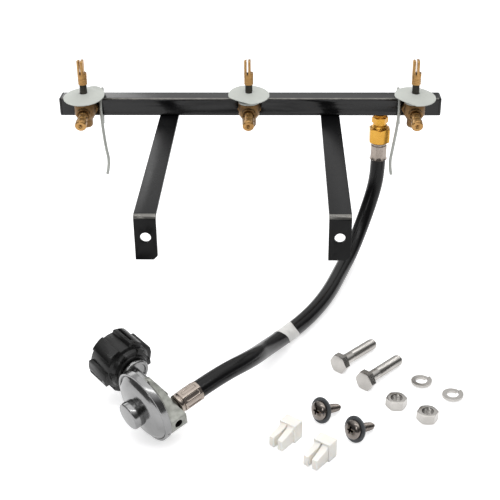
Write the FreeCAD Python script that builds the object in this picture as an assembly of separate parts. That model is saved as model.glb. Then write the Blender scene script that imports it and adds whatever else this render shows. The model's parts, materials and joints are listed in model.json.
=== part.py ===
import FreeCAD, Part
import math
import os

# Gas manifold on two feet, with three push-and-turn valves, a hose and a regulator.
# All sizes are in millimetres. The origin lies midway between the two foot holes, on the
# outer faces of the feet: x runs along the manifold, y away from the viewer, z up.

V = FreeCAD.Vector
os.makedirs("parts", exist_ok=True)

# clearances
turning_gap = 0.05        # radial, a turning or sliding piece in its bore
thread_gap = 0.10         # radial, between the two sides of a modelled thread
loose_gap = 0.30          # between the faces of two bodies that only pass each other

# square tube
tube_side = 19.05
tube_wall = 1.5
tube_corner = 2.0
tube_length = 387.4
cap_thick = 2.5

# feet
hole_drop = 21.3          # from the foot hole up to the underside of the tube
arm_reach = 226.0         # from the outer face of the foot to the front face of the tube
bracket_pitch = 164.0
bracket_width = 19.05
bracket_thick = 3.0
bracket_bend = 2.0        # inner radius
foot_height = 42.5
foot_hole_radius = 4.6
foot_corner_cut = 3.5

# valves, heights from the underside of the tube
valve_pitch = 165.0
stem_out = 14.0           # stem axis in front of the tube
inlet_flats = 20.6
inlet_length = 6.0
tail_radius = 5.9
bowl_radius = 10.5
bowl_top = 20.0
bowl_bottom = -5.5
plug_radius = 5.95
plug_bottom = -2.3
plug_top = 12.9
port_height = 6.2
port_radius = 1.9
stem_radius = 3.6
stem_push = 2.5
tongue_thick = 2.5
tongue_width = 5.2
stem_collar_radius = 4.6
stem_collar_height = 1.65
stem_top = 50.0
bonnet_radius = 10.4
bonnet_thick = 2.0
bonnet_neck_radius = 5.6
bonnet_neck_top = 28.5
tab_offset = 9.6
screw_circle = 8.0
screw_depth = 4.4
sleeve_radius = 4.6
sleeve_bottom = 38.9
sleeve_step = 50.9
sleeve_top = 63.4
sleeve_flat = 2.1
slit_width = 1.5
slit_offset = 1.1
outlet_tilt = 12.0
outlet_height = 13.0
boss_radius = 6.8
boss_reach = 12.2
recess_radius = 5.6
recess_depth = 2.6
spud_neck_radius = 3.45
spud_radius = 5.65
spud_reach = 32.0
spud_nose = 7.2
disc_radius = 20.5
disc_thick = 0.8
disc_tilt = 6.7
disc_droop = 4.0          # from the edge of the hole out to the rim
disc_hole = 4.1           # radius

# wire clips over the tube: x from the nearest valve, y from the tube's front, z from its underside
wire_radius = 1.4
left_wire = [(15.3, -1.8, -63.8), (19.0, -1.8, -51.0), (13.8, -1.8, 2.0),
             (13.8, -1.8, 20.6), (15.0, 9.5, 27.0), (13.0, 20.8, 20.6),
             (11.0, 20.8, -16.4)]
right_wire = [(-18.7, -1.8, -63.8), (-20.6, -1.8, -51.0), (-13.8, -1.8, 2.0),
              (-13.8, -1.8, 20.6), (-15.0, 9.5, 27.0), (-13.0, 20.8, 20.6),
              (-11.0, 20.8, -16.4)]

# hose fitting under the tube, depths below the underside of the tube
fitting_inset = 60.0      # from the end of the tube to the fitting
fitting_x = tube_length / 2 - fitting_inset
adapter_flats = 14.5
adapter_hex = 10.5
adapter_thread = 7.9
adapter_end = 20.0
nose_radius = 5.2
nose_length = 2.2
gas_bore = 2.5
nut_flats = 20.3
nut_start = 16.0
nut_end = 31.3
nut_floor = 3.5
stem_tube_radius = 5.6
stem_flange_radius = 7.2
barb_radius = 3.95
ferrule_radius = 7.95
ferrule_flare = 8.65
ferrule_flats = 8
ferrule_head = 3.6
ferrule_mouth = 3.5
ferrule_start = 31.6
ferrule_end = 50.5

# hose
hose_radius = 7.8
hose_bore = 4.0
hose_first_run = 15.6     # straight down out of the upper ferrule
hose_route = [(-1.9, 232.6, -62.4), (-6.9, 224.9, -83.1), (-15.8, 210.3, -103.2), (-27.4, 189.6, -117.5),
              (-40.5, 164.1, -123.3), (-53.9, 114.0, -121.7), (-71.3, 77.7, -122.9), (-92.8, 42.7, -121.6),
              (-113.1, 4.2, -112.8), (-126.2, -35.1, -98.0)]    # x from the fitting
hose_last_run = 25.6      # into the lower ferrule
label_thick = 0.3
label_gap = 0.03
label_start = 258.0       # along the hose from the upper ferrule
label_end = 278.0

# regulator, in its own frame: x to the side port, y up, z out through the round cap
floor_level = -130.7
rim_radius = 31.5
regulator_centre = V(fitting_x - 210.3, -101.6, floor_level + rim_radius - 0.05)
cap_direction = V(-0.7335, -0.6548, -0.1823)
up_direction = V(-0.0491, -0.2164, 0.9751)
chamber_radius = 23.0
chamber_floor = 19.8       # radius
chamber_depth = 6.2
diaphragm_radius = 29.3
diaphragm_thick = 1.0
plate_radius = 18.0
plate_travel = 1.2
tower_radius = 10.7
tower_bore = 9.1
tower_top = 15.4
cap_radius = 11.8
cap_base = 8.7
cap_top = 17.3
block_width = 28.5
block_top = -1.3
block_bottom = -12.5
block_front = 3.6
block_back = 19.7
port_y = -7.0
port_z = -11.5
vent_angle = -17.0        # on the rim, from the side port towards the floor
side_port_radius = 3.6
side_port_depth = 9.0
outlet_x = 12.3
outlet_y = -6.4
lower_ferrule_start = 21.5
lower_ferrule_end = 44.4
lower_ferrule_radius = 8.3

# inlet of the regulator, distances to the left of the regulator's centre
inlet_y = -4.3
inlet_z = -17.9
inlet_boss_radius = 5.2
boss_end = 24.0
collar_radius = 12.7
collar_start = 36.0
collar_end = 40.0
nipple_thread = 3.4
nipple_radius = 4.4
nipple_flange = 11.5
nipple_nose = 6.2
nipple_end = 70.0
bushing_radius = 10.0
nut_hub_start = 40.6
nut_shoulder = 42.6
nut_grip_start = 48.0
nut_mouth = 72.3
nut_hub_radius = 14.8
grip_radius = 24.6
valley_radius = 20.8
grip_width = 13.4
grip_taper = 1.2          # the grips come in by this much towards the mouth
grip_taper_length = 2.0
grip_slot_depth = 1.3
lobes = 6
nut_bore = 16.6
poppet_radius = 2.6
poppet_travel = 2.0

# lever inside the regulator
lever_pivot_x = -12.0
lever_pivot_z = -3.75
lever_short = 5.4
lever_thick = 1.5
lever_width = 5.0
lever_y = inlet_y
pin_radius = 1.0
seat_height = 0.5
seat_radius = 1.8

# loose fixings on the floor
bolt_flats = 16.0
bolt_shank = 5.0          # radius
bolt_head = 6.4
bolt_length = 52.0
bolt_bearing = 48.5
bolt_places = [(83.2, -7.8), (104.3, -33.6)]
washer_outer = 9.05
washer_inner = 5.15
washer_thick = 2.2
washer_rise = 1.9         # the two ends of the split stand this far apart
washer_places = [(156.0, -23.1), (180.5, -42.7)]
hex_nut_height = 8.4
hex_nut_bore = 4.25
hex_nut_places = [(130.8, -56.1), (155.0, -74.4)]
pan_head = 8.1
pan_head_height = 5.6
pan_shank = 4.0
pan_length = 24.5
pan_washer = 11.0
pan_washer_thick = 1.6
pan_bearing = 41.4
pan_dip = 18.4
pan_places = [(65.7, -78.3), (92.2, -103.1)]
insert_width = 15.4
insert_height = 16.6
insert_head = 10.4
insert_length = 26.3
insert_tip_low = 1.6
insert_tip_high = 10.8
insert_bearing = 234.0
insert_places = [(44.2, -95.0), (71.2, -118.2)]


# basic shapes

def block(x0, x1, y0, y1, z0, z1):
    return Part.makeBox(x1 - x0, y1 - y0, z1 - z0, V(x0, y0, z0))


def rod(radius, start, direction, length):
    return Part.makeCylinder(radius, length, start, direction)


def upright(radius, x, y, z0, z1):
    return Part.makeCylinder(radius, z1 - z0, V(x, y, z0))


def turned(profile):
    # profile: (radius, height) pairs, turned round the upright axis
    points = [V(r, 0, z) for r, z in profile]
    face = Part.Face(Part.makePolygon(points + [points[0]]))
    return face.revolve(V(0, 0, 0), V(0, 0, 1), 360)


def prism(sides, flats, z0, z1, turn=0.0):
    # upright prism; with turn 0 one corner points along +x
    corner = flats / 2 / math.cos(math.pi / sides)
    points = []
    for i in range(sides + 1):
        angle = math.radians(turn) + 2 * math.pi * i / sides
        points.append(V(corner * math.cos(angle), corner * math.sin(angle), z0))
    return Part.Face(Part.makePolygon(points)).extrude(V(0, 0, z1 - z0))


def placed(shape, origin, along, up=V(0, 0, 1)):
    # the shape's own z axis turns to "along" and its y axis as near as it can to "up"
    turn = FreeCAD.Rotation(V(1, 0, 0), up, along, "ZYX")
    result = shape.copy()
    result.Placement = FreeCAD.Placement(origin, turn).multiply(result.Placement)
    return result


def moved(shape, x, y, z):
    result = shape.copy()
    result.translate(V(x, y, z))
    return result


def save(name, shapes):
    if not isinstance(shapes, list):
        shapes = [shapes]
    solids = [solid for shape in shapes for solid in shape.Solids]
    bad = [solid for solid in solids if not solid.isValid() or solid.Volume <= 0]
    whole = solids[0] if len(solids) == 1 else Part.makeCompound(solids)
    whole.exportStep("parts/" + name + ".step")
    volume = sum(solid.Volume for solid in solids)
    print("%-22s %2d solids %9.1f mm3 %s" % (name, len(solids), volume, "BAD" if bad else ""))


def rounded_route(points, share=0.45, fixed_radius=None):
    # straight runs joined by tangent arcs; returns the edges and the arc radii
    edges, radii = [], []
    here = points[0]
    for i in range(1, len(points) - 1):
        back = points[i] - points[i - 1]
        ahead = points[i + 1] - points[i]
        half_turn = back.getAngle(ahead) / 2
        if fixed_radius:
            trim = fixed_radius * math.tan(half_turn)
        else:
            trim = share * min(back.Length, ahead.Length)
        radius = trim / math.tan(half_turn)
        first = points[i] - V(back).normalize() * trim
        last = points[i] + V(ahead).normalize() * trim
        inward = (V(ahead).normalize() - V(back).normalize()).normalize()
        middle = points[i] + inward * (radius / math.cos(half_turn) - radius)
        edges.append(Part.LineSegment(here, first).toShape())
        edges.append(Part.Arc(first, middle, last).toShape())
        radii.append(radius)
        here = last
    edges.append(Part.LineSegment(here, points[-1]).toShape())
    return edges, radii


def swept(edges, radius):
    first = edges[0]
    start = first.Vertexes[0].Point
    heading = first.tangentAt(first.FirstParameter)
    ring = Part.Wire(Part.makeCircle(radius, start, heading))
    return Part.Wire(edges).makePipeShell([ring], True, False)


def cut_route(edges, start, end):
    # the part of a route between two lengths along it
    kept, travelled = [], 0.0
    for edge in edges:
        a = max(start - travelled, 0.0)
        b = min(end - travelled, edge.Length)
        if a < b:
            p = edge.getParameterByLength(a) if a > 0 else edge.FirstParameter
            q = edge.getParameterByLength(b) if b < edge.Length else edge.LastParameter
            kept.append(edge.Curve.toShape(p, q))
        travelled += edge.Length
    return kept


# manifold tube

def build_tube():
    half = tube_length / 2
    open_half = half - cap_thick
    y0, y1 = arm_reach, arm_reach + tube_side
    z0, z1 = hole_drop, hole_drop + tube_side
    outer = block(-open_half, open_half, y0, y1, z0, z1)
    along = [e for e in outer.Edges if abs(e.Length - 2 * open_half) < 0.01]
    outer = outer.makeFillet(tube_corner, along)
    w = tube_wall
    inner = block(-open_half, open_half, y0 + w, y1 - w, z0 + w, z1 - w)
    tube = outer.cut(inner)
    for i in (-1, 0, 1):
        hole = rod(tail_radius + turning_gap, V(i * valve_pitch, y0 - 1, z0 + tube_side / 2),
                   V(0, 1, 0), w + 2)
        tube = tube.cut(hole)
    tube = tube.cut(upright(gas_bore + 2.5, fitting_x, y0 + tube_side / 2, z0 - 1, z0 + w + 1))
    save("manifold_tube", tube)


def build_caps():
    caps = []
    for side in (-1, 1):
        x0 = tube_length / 2 - cap_thick
        cap = block(x0, x0 + cap_thick, arm_reach, arm_reach + tube_side,
                    hole_drop, hole_drop + tube_side)
        along = [e for e in cap.Edges if abs(e.Length - cap_thick) < 0.01]
        cap = cap.makeFillet(tube_corner, along)
        front = [e for e in cap.Edges if min(v.Point.x for v in e.Vertexes) > x0 + cap_thick - 0.01]
        cap = cap.makeFillet(1.6, front)
        if side < 0:
            cap = cap.mirror(V(0, 0, 0), V(1, 0, 0))
        caps.append(cap)
    save("tube_end_caps", caps)


# feet: a flat bar under the tube, bent down at the front

def build_bracket(name, x):
    t = bracket_thick
    x0 = x - bracket_width / 2
    outer = bracket_bend + t
    back = arm_reach + tube_side
    foot_bottom = hole_drop - foot_height
    arm = block(x0, x0 + bracket_width, outer, back, hole_drop - t, hole_drop)
    foot = block(x0, x0 + bracket_width, 0, t, foot_bottom, hole_drop - outer)
    bend = rod(outer, V(x0, outer, hole_drop - outer), V(1, 0, 0), bracket_width)
    bend = bend.cut(rod(bracket_bend, V(x0 - 1, outer, hole_drop - outer), V(1, 0, 0),
                        bracket_width + 2))
    bend = bend.common(block(x0, x0 + bracket_width, 0, outer, hole_drop - outer, hole_drop))
    bar = arm.fuse([bend, foot]).removeSplitter()
    bar = bar.cut(rod(foot_hole_radius, V(x, -1, 0), V(0, 1, 0), t + 2))
    c = foot_corner_cut
    corner = Part.makePolygon([V(x0 + bracket_width - c, -1, foot_bottom),
                               V(x0 + bracket_width + 1, -1, foot_bottom + c + 1),
                               V(x0 + bracket_width + 1, -1, foot_bottom - 1),
                               V(x0 + bracket_width - c, -1, foot_bottom - 1),
                               V(x0 + bracket_width - c, -1, foot_bottom)])
    bar = bar.cut(Part.Face(corner).extrude(V(0, t + 2, 0)))
    save(name, bar)


# one valve, built round its stem axis; heights from the underside of the tube

tilt = math.radians(outlet_tilt)
outlet_way = V(0, -math.cos(tilt), -math.sin(tilt))


def at_valve(shape, place):
    return moved(shape, place * valve_pitch, arm_reach - stem_out, hole_drop)


def valve_body():
    top = bowl_top
    profile = [(0, bowl_bottom), (4.5, bowl_bottom), (6.2, bowl_bottom + 0.7), (7.0, bowl_bottom + 2.3),
               (7.0, 2.5), (bowl_radius, 8.0), (bowl_radius, top - 0.6), (bowl_radius - 0.6, top), (0, top)]
    body = turned(profile)
    middle = tube_side / 2
    hexagon = placed(prism(6, inlet_flats, 0, inlet_length), V(0, stem_out, middle), V(0, -1, 0))
    hexagon = hexagon.common(block(-20, 20, stem_out - inlet_length, stem_out, -5, top))
    tail = rod(tail_radius, V(0, stem_out - 1, middle), V(0, 1, 0), tube_wall + 1)
    centre = V(0, 0, outlet_height)
    boss = rod(boss_radius, centre + outlet_way * 3, outlet_way, boss_reach - 3)
    body = body.fuse([hexagon, tail, boss])
    body = body.cut(upright(plug_radius + turning_gap, 0, 0, plug_bottom - 0.2, top + 1))
    body = body.cut(rod(recess_radius, centre + outlet_way * (boss_reach - recess_depth),
                        outlet_way, recess_depth + 1))
    body = body.cut(rod(spud_neck_radius + turning_gap, centre + outlet_way * 6.6, outlet_way, 10))
    body = body.cut(rod(port_radius, V(0, -5, port_height), V(0, -1, 0), 5))
    body = body.cut(rod(port_radius, V(0, 5, port_height), V(0, 1, 0), stem_out))
    for side in (-1, 1):
        body = body.cut(upright(1.25, 0, side * screw_circle, top - screw_depth - 0.4, top + 1))
    return body


def valve_plug():
    plug = upright(plug_radius, 0, 0, plug_bottom, plug_top)
    slot_x = tongue_thick / 2 + turning_gap
    slot_y = tongue_width / 2 + turning_gap
    slot_floor = plug_top - 0.9 - stem_push - 0.3
    plug = plug.cut(block(-slot_x, slot_x, -slot_y, slot_y, slot_floor, plug_top + 1))
    return plug.cut(rod(port_radius, V(-7, 0, port_height), V(1, 0, 0), 14))


def valve_stem():
    collar_top = bowl_top - turning_gap
    collar_bottom = collar_top - stem_collar_height
    stem = upright(stem_radius, 0, 0, collar_top, stem_top)
    collar = upright(stem_collar_radius, 0, 0, collar_bottom, collar_top)
    tongue = block(-tongue_thick / 2, tongue_thick / 2, -tongue_width / 2, tongue_width / 2,
                   plug_top - 0.9, collar_bottom)
    return stem.fuse([collar, tongue]).removeSplitter()


def stem_spring():
    # the coil round the tongue, as its plain outer form
    collar_bottom = bowl_top - turning_gap - stem_collar_height
    coil = upright(3.9, 0, 0, plug_top + turning_gap, collar_bottom - turning_gap)
    return coil.cut(upright(3.3, 0, 0, plug_top - 1, collar_bottom + 1))


def stem_sleeve():
    profile = [(0, sleeve_bottom), (sleeve_radius - 0.4, sleeve_bottom), (sleeve_radius, sleeve_bottom + 0.4)]
    groove = sleeve_bottom + 1.4
    for _ in range(3):
        profile += [(sleeve_radius, groove), (sleeve_radius - 0.5, groove + 0.3),
                    (sleeve_radius - 0.5, groove + 0.9), (sleeve_radius, groove + 1.2)]
        groove += 2.0
    profile += [(sleeve_radius, sleeve_top - 0.5), (sleeve_radius - 0.5, sleeve_top), (0, sleeve_top)]
    sleeve = turned(profile)
    sleeve = sleeve.cut(block(sleeve_flat, 10, -10, 10, sleeve_step, sleeve_top + 1))
    middle = -slit_offset
    sleeve = sleeve.cut(block(middle - slit_width / 2, middle + slit_width / 2, -10, 10,
                              sleeve_step - 1, sleeve_top + 1))
    return sleeve.cut(upright(stem_radius + turning_gap / 2, 0, 0, sleeve_bottom - 1, stem_top + 0.2))


def valve_bonnet():
    plate = upright(bonnet_radius, 0, 0, bowl_top, bowl_top + bonnet_thick)
    neck = upright(bonnet_neck_radius, 0, 0, bowl_top, bonnet_neck_top)
    tab = block(-tab_offset - 0.75, -tab_offset + 0.75, -2.5, 2.5, bowl_top + 1, bowl_top + 7)
    bonnet = plate.fuse([neck, tab])
    bonnet = bonnet.cut(upright(stem_radius + turning_gap, 0, 0, bowl_top - 1, bonnet_neck_top + 1))
    for side in (-1, 1):
        bonnet = bonnet.cut(upright(1.25, 0, side * screw_circle, bowl_top - 1, bowl_top + 4))
    return bonnet


def bonnet_screw(side):
    seat = bowl_top + bonnet_thick
    head = upright(1.9, 0, side * screw_circle, seat, seat + 1.3)
    shank = upright(1.2, 0, side * screw_circle, bowl_top - screw_depth, seat)
    slot = block(-0.25, 0.25, side * screw_circle - 3, side * screw_circle + 3, seat + 0.8, seat + 2)
    return head.fuse(shank).cut(slot)


def orifice_spud():
    # turned round its own axis, from the valve out to its nose
    r = spud_radius
    root = boss_reach - recess_depth
    nose = spud_reach - spud_nose
    profile = [(0, 7.0), (spud_neck_radius, 7.0), (spud_neck_radius, root), (4.6, root + 0.3),
               (4.6, root + 5.6), (4.0, root + 5.9), (4.0, root + 6.9), (4.9, root + 7.2), (4.9, nose - 2.2),
               (4.2, nose - 1.9), (4.2, nose - 0.5), (r, nose), (r, spud_reach - 0.9), (r - 0.9, spud_reach),
               (2.4, spud_reach), (0.6, spud_reach - 1.6), (0, spud_reach - 1.6)]
    spud = turned(profile)
    bore = turned([(0, 6), (2.0, 6), (2.0, nose), (0.5, nose + 2.5), (0.5, spud_reach), (0, spud_reach)])
    return placed(spud.cut(bore), V(0, 0, outlet_height), outlet_way)


def stem_disc():
    # a thin loose disc round the stem, drooping to its rim and leaning towards the viewer
    lean = math.radians(disc_tilt)
    neck_share = (bonnet_neck_radius - disc_hole) / (disc_radius - disc_hole)
    height = (bonnet_neck_top + disc_droop * neck_share + bonnet_neck_radius * math.sin(lean)
              + turning_gap)
    disc = turned([(disc_hole, 0), (disc_hole, disc_thick), (disc_radius, disc_thick - disc_droop),
                   (disc_radius, -disc_droop)])
    return placed(disc, V(0, 0, height), V(0, -math.sin(lean), math.cos(lean)), V(0, 1, 0))


def build_valves():
    names = {-1: "left", 0: "middle", 1: "right"}
    for place, name in names.items():
        save("valve_body_" + name, at_valve(valve_body(), place))
        save("valve_plug_" + name, at_valve(valve_plug(), place))
        save("valve_stem_" + name, at_valve(valve_stem(), place))
        save("stem_spring_" + name, at_valve(stem_spring(), place))
        save("stem_sleeve_" + name, at_valve(stem_sleeve(), place))
    places = list(names)
    save("valve_bonnets", [at_valve(valve_bonnet(), p) for p in places])
    save("bonnet_screws", [at_valve(bonnet_screw(s), p) for p in places for s in (-1, 1)])
    save("orifice_spuds", [at_valve(orifice_spud(), p) for p in places])
    save("stem_discs", [at_valve(stem_disc(), p) for p in places])


# wire clips

def build_wire(name, place, points):
    row = [V(place * valve_pitch + x, arm_reach + y, hole_drop + z) for x, y, z in points]
    edges, radii = rounded_route(row, share=0.42)
    save(name, swept(edges, wire_radius))


# hose fitting, turned round the upright axis; depths count down from the tube

def at_fitting(shape):
    return moved(shape, fitting_x, arm_reach + tube_side / 2, hole_drop)


def crimped_sleeve(radius, low, high):
    # the length of a ferrule that the crimping jaws left with flats
    sleeve = prism(ferrule_flats, 2 * radius, low, high, 180.0 / ferrule_flats)
    sleeve = sleeve.common(upright(radius + 0.35, 0, 0, low, high))
    return sleeve.cut(upright(hose_bore, 0, 0, low - 1, high + 1))


def build_fitting():
    pipe = upright(gas_bore + 2.45, 0, 0, 0, tube_wall)
    hexagon = prism(6, adapter_flats, -adapter_hex, 0, 0)
    thread = turned([(0, -adapter_hex), (6.6, -adapter_hex), (6.6, -12.2), (adapter_thread, -13.4),
                     (adapter_thread, -adapter_end + 0.6), (adapter_thread - 0.6, -adapter_end),
                     (nose_radius, -adapter_end), (nose_radius - nose_length, -adapter_end - nose_length),
                     (0, -adapter_end - nose_length)])
    adapter = pipe.fuse([hexagon, thread]).cut(upright(gas_bore, 0, 0, -30, 5))
    save("hose_adapter", at_fitting(adapter))

    nut = prism(6, nut_flats, -nut_end, -nut_start, 30)
    half = nut_flats / 2
    chamfer = turned([(0, -nut_end), (half - 0.2, -nut_end), (half + 1.8, -nut_end + 1.2),
                      (half + 1.8, -nut_start - 1.2), (half - 0.2, -nut_start), (0, -nut_start)])
    nut = nut.common(chamfer)
    floor = -nut_end + nut_floor
    nut = nut.cut(upright(adapter_thread + thread_gap, 0, 0, floor, 0))
    nut = nut.cut(upright(stem_tube_radius + turning_gap, 0, 0, -40, 0))
    save("flare_nut", at_fitting(nut))

    gap = turning_gap
    flange_top = -adapter_end - 0.6
    seat = nose_radius - 0.6 + 2 * gap
    stem = turned([(0, floor + gap), (stem_flange_radius, floor + gap), (stem_flange_radius, flange_top),
                   (seat, flange_top), (seat - 2.0, flange_top - 2.0), (0, flange_top - 2.0)])
    neck = upright(stem_tube_radius, 0, 0, -ferrule_start, floor + gap)
    barb = upright(barb_radius, 0, 0, -ferrule_end + 0.5, -ferrule_start)
    stem = stem.fuse([neck, barb]).cut(upright(gas_bore, 0, 0, -60, 0))
    save("hose_stem", at_fitting(stem))

    r = ferrule_radius
    start, end = -ferrule_start, -ferrule_end
    neck = start - ferrule_head
    lip = end + ferrule_mouth
    top = turned([(hose_bore, start), (r - 1.2, start), (r, start - 1.0), (r, neck + 1.0),
                  (r - 0.6, neck + 0.6), (r - 0.6, neck), (hose_bore, neck)])
    mouth = turned([(hose_bore, lip), (r, lip), (ferrule_flare, lip - 1.8), (ferrule_flare, end),
                    (hose_bore, end)])
    save("ferrule_upper", at_fitting(top.fuse([crimped_sleeve(r, lip, neck), mouth])))


# regulator, built in its own frame

def at_regulator(shape):
    return placed(shape, regulator_centre, cap_direction, up_direction)


def along_inlet(shape):
    # a shape turned round its own z becomes one round the inlet, z growing to the left
    return placed(shape, V(0, inlet_y, inlet_z), V(-1, 0, 0), V(0, 1, 0))


def build_regulator_body():
    under = -diaphragm_thick * 0.6
    flange = rim_radius - 1.6
    back = -chamber_depth - 1.5
    body = turned([(0, back), (chamber_floor + 1.4, back), (chamber_radius + 1.8, -2.5), (flange, -2.5),
                   (flange, under), (0, under)])
    port_block = block(0, block_width, block_bottom, block_top, -block_back, -block_front)
    outline = [V(-16.5, -6.0, -block_back), V(12.2, -6.0, -block_back), V(12.2, block_top, -block_back),
               V(10.2, -0.2, -block_back), V(2.6, 2.3, -block_back), V(-5.0, 2.6, -block_back),
               V(-16.5, -4.5, -block_back), V(-16.5, -6.0, -block_back)]
    web = Part.Face(Part.makePolygon(outline)).extrude(V(0, 0, block_back - block_front))
    lug = block(5.3, 8.2, chamber_floor, rim_radius + 1.2, -5.6, -3.2 - loose_gap)
    hub = upright(8.5, -8, inlet_y, -block_back, back + 1)
    inlet = along_inlet(turned([(0, 0), (inlet_boss_radius, 0), (inlet_boss_radius, boss_end - 0.4),
                                (inlet_boss_radius - 0.4, boss_end), (0, boss_end)]))
    feed_x = lever_pivot_x - lever_short
    riser = upright(3.2, feed_x, lever_y, inlet_z, back + 1)
    body = body.fuse([port_block, web, lug, hub, inlet, riser])
    chamber = turned([(0, -chamber_depth), (chamber_floor, -chamber_depth), (chamber_radius, -1.9),
                      (chamber_radius, 1), (0, 1)])
    body = body.cut(chamber)
    seat = upright(seat_radius + 0.2, feed_x, lever_y, -chamber_depth, -chamber_depth + seat_height)
    body = body.fuse(seat)
    for side in (-1, 1):
        y0 = lever_y + side * (lever_width / 2 + 1.2) - 0.9
        ear = block(lever_pivot_x - 2, lever_pivot_x + 2, y0, y0 + 1.8, -chamber_depth, -2.2)
        body = body.fuse(ear)
    pin_end = V(lever_pivot_x, lever_y - 6, lever_pivot_z)
    body = body.cut(rod(pin_radius + turning_gap, pin_end, V(0, 1, 0), 12))
    body = body.cut(along_inlet(upright(nipple_thread + turning_gap, 0, 0, boss_end - 3.6, boss_end + 1)))
    body = body.cut(along_inlet(upright(1.8, 0, 0, -feed_x - 2.0, boss_end - 3.0)))
    body = body.cut(upright(1.2, feed_x, lever_y, inlet_z, 0))
    body = body.cut(upright(4.85, outlet_x, outlet_y, -block_back - 1, -15.0))
    body = body.cut(upright(3.0, outlet_x, outlet_y, -16.0, -chamber_depth + 1))
    port_mouth = V(block_width + 1, port_y, port_z)
    body = body.cut(rod(side_port_radius, port_mouth, V(-1, 0, 0), side_port_depth + 1))
    save("regulator_body", at_regulator(body.removeSplitter()))


def build_regulator_cover():
    r = rim_radius
    outer = [(r - 0.5, -3.2), (r, -2.7), (r, 2.1), (r - 0.5, 2.6), (r - 1.7, 2.6), (r - 2.3, 1.9),
             (r - 2.9, 2.7), (r - 3.6, 3.4), (26.4, 4.7), (24.8, 5.9), (22.6, 6.7), (18.0, 7.6), (14.5, 8.2),
             (cap_radius + 0.6, cap_base), (tower_radius, cap_base), (tower_radius, tower_top)]
    inner = [(tower_bore, tower_top), (tower_bore, 7.2), (13.0, 7.0), (18.0, 6.2), (22.4, 5.2), (24.6, 3.8),
             (26.0, 1.8), (26.0, diaphragm_thick * 0.4), (r - 1.5, diaphragm_thick * 0.4),
             (r - 1.5, -2.55), (r - 2.8, -2.55), (r - 2.8, -3.2)]
    cover = turned(outer + inner)
    vent = math.radians(vent_angle)
    out = V(math.cos(vent), math.sin(vent), 0)
    cover = cover.cut(rod(0.9, out * (r - 1.2), out, 3))
    save("regulator_cover", at_regulator(cover))

    cap = turned([(0, cap_top), (cap_radius - 1.2, cap_top), (cap_radius, cap_top - 1.2),
                  (cap_radius, cap_base), (tower_radius + turning_gap, cap_base),
                  (tower_radius + turning_gap, tower_top + 0.2), (0, tower_top + 0.2)])
    save("adjuster_cap", at_regulator(cap))

    screw = upright(tower_bore - turning_gap, 0, 0, 11.0, tower_top - 0.4)
    screw = screw.cut(prism(6, 6.0, 12.5, tower_top))
    save("adjusting_screw", at_regulator(screw))

    spring = upright(8.2, 0, 0, 1.75, 10.9).cut(upright(6.6, 0, 0, 0, 12.0))
    save("main_spring", at_regulator(spring))


def build_diaphragm():
    low, high = -diaphragm_thick * 0.6, diaphragm_thick * 0.4
    fold = [(plate_radius + loose_gap, low), (diaphragm_radius, low), (diaphragm_radius, high),
            (23.8, high), (22.8, high + 0.8), (21.4, high + 0.8), (20.4, high),
            (plate_radius + loose_gap, high)]
    save("diaphragm", at_regulator(turned(fold)))
    lever_top = lever_pivot_z + lever_thick / 2
    plate = turned([(0, low + 0.3), (plate_radius, low + 0.3), (plate_radius, high), (8.8, high),
                    (8.8, high + 1.3), (0, high + 1.3)])
    post = upright(1.0, 0, lever_y, lever_top + 0.12, low + 0.4)
    save("diaphragm_plate", at_regulator(plate.fuse(post)))


def build_lever():
    x0, x1 = lever_pivot_x - lever_short - 1.0, 2.0
    half = lever_width / 2
    low, high = lever_pivot_z - lever_thick / 2, lever_pivot_z + lever_thick / 2
    bar = block(x0, x1, lever_y - half, lever_y + half, low, high)
    knuckle = rod(1.9, V(lever_pivot_x, lever_y - half, lever_pivot_z), V(0, 1, 0), lever_width)
    hole = rod(pin_radius + turning_gap, V(lever_pivot_x, lever_y - half - 1, lever_pivot_z),
               V(0, 1, 0), lever_width + 2)
    save("lever", at_regulator(bar.fuse(knuckle).cut(hole)))
    pin = rod(pin_radius, V(lever_pivot_x, lever_y - 4.6, lever_pivot_z), V(0, 1, 0), 9.2)
    save("lever_pin", at_regulator(pin))
    seat_top = -chamber_depth + seat_height + turning_gap
    x = lever_pivot_x - lever_short
    pad = upright(seat_radius, x, lever_y, seat_top, seat_top + 0.9)
    post = upright(0.9, x, lever_y, seat_top, low - 0.12)
    save("seat_plunger", at_regulator(pad.fuse(post)))


def build_outlet():
    barb = upright(4.8, 0, 0, -block_back, -15.5)
    neck = turned([(0, -lower_ferrule_start), (5.6, -lower_ferrule_start), (5.6, -block_back - 1.5),
                   (6.4, -block_back - 1.5), (6.4, -block_back), (0, -block_back)])
    tail = upright(barb_radius, 0, 0, -lower_ferrule_end + 0.5, -lower_ferrule_start)
    barb = barb.fuse([neck, tail]).cut(upright(gas_bore, 0, 0, -60, 0))
    save("outlet_barb", at_regulator(moved(barb, outlet_x, outlet_y, 0)))

    r = lower_ferrule_radius
    start, end = -lower_ferrule_start, -lower_ferrule_end
    neck = start - ferrule_head - 1.0
    head = turned([(hose_bore, start), (r - 1.6, start), (r - 0.4, start - 0.7), (r, start - 1.9),
                   (r, neck + 1.2), (r - 0.7, neck + 0.8), (r - 0.7, neck), (hose_bore, neck)])
    sleeve = head.fuse(crimped_sleeve(r, end, neck))
    for i in range(ferrule_flats):
        panel = block(r - 0.35, r + 2, -1.7, 1.7, end + 2.5, neck - 2.4)
        panel.rotate(V(0, 0, 0), V(0, 0, 1), 360.0 / ferrule_flats * i)
        sleeve = sleeve.cut(panel)
    save("ferrule_lower", at_regulator(moved(sleeve, outlet_x, outlet_y, 0)))


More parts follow.
